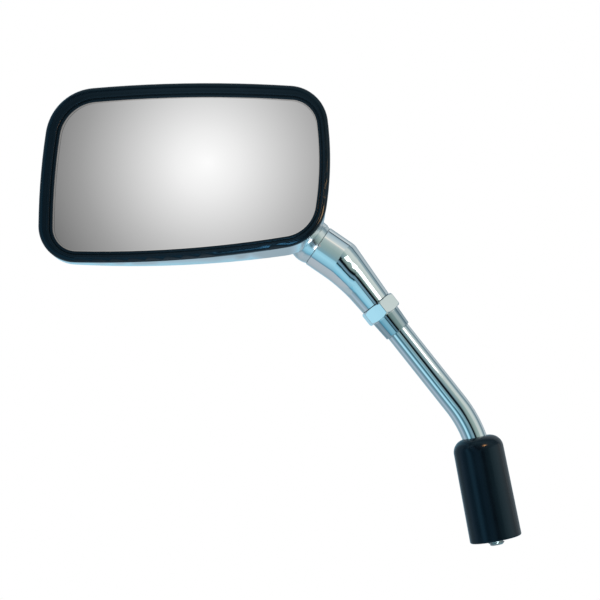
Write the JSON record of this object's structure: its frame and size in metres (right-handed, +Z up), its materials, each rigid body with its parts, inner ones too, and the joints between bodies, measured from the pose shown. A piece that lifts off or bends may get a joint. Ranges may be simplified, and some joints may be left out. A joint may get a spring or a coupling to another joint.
{
  "type": "motorcycle mirror",
  "caption": "Left-hand motorcycle mirror: convex glass in a rubber-rimmed chromed housing on a ball joint, cast elbow and bent rod, screwed to the bike by a stud under a rubber boot.",
  "frame": {"origin": "on the stud's axis, at the underside of the adapter's hexagon, where it seats", "axes": "+Z up the stud, the glass faces -Y towards the rider, +X to the rider's right"},
  "size_m": [0.202, 0.0397, 0.2556],
  "materials": {
    "chrome": "bright chrome plate",
    "zinc_steel": "zinc plate",
    "rubber": "satin black",
    "mirror": "silvered, convex",
    "nylon": "natural",
    "foam": "foam, matt"
  },
  "bodies": {
    "stem": {"base_adapter": "zinc_steel", "base_spring_washer": "zinc_steel", "base_lock_nut": "zinc_steel", "stem_rod": "chrome", "arm_lock_nut": "chrome", "rubber_boot": "rubber"},
    "arm": {"arm_elbow": "chrome", "cup_liner": "nylon", "pivot_stud": "zinc_steel", "pivot_springs": "zinc_steel", "pivot_washer": "zinc_steel", "pivot_nut": "zinc_steel"},
    "joint_cup": {"pressure_cup": "zinc_steel"},
    "joint_dome": {"friction_dome": "nylon"},
    "head": {"housing_shell": "chrome", "mirror_glass": "mirror", "rim_gasket": "rubber", "glass_pad": "foam", "backing_plate": "zinc_steel", "plate_screws": "zinc_steel"}
  },
  "joints": [
    {"name": "arm_swivel", "type": "hinge", "parent": "stem", "child": "arm", "pos_m": [-0.03562, 0, 0.10982], "axis": [-0.4602, 0, 0.8878], "range_deg": [-90, 90]},
    {"name": "head_twist", "type": "hinge", "parent": "arm", "child": "joint_cup", "pos_m": [-0.06094, 0, 0.14582], "axis": [-0.7009, 0, 0.7133], "range_deg": [-30, 30]},
    {"name": "head_swing", "type": "hinge", "parent": "joint_cup", "child": "joint_dome", "pos_m": [-0.06094, 0, 0.14582], "axis": [0.7133, 0, 0.7009], "range_deg": [-8, 8]},
    {"name": "head_roll", "type": "hinge", "parent": "joint_dome", "child": "head", "pos_m": [-0.06094, 0, 0.14582], "axis": [0, 1, 0], "range_deg": [-12, 5]}
  ]
}
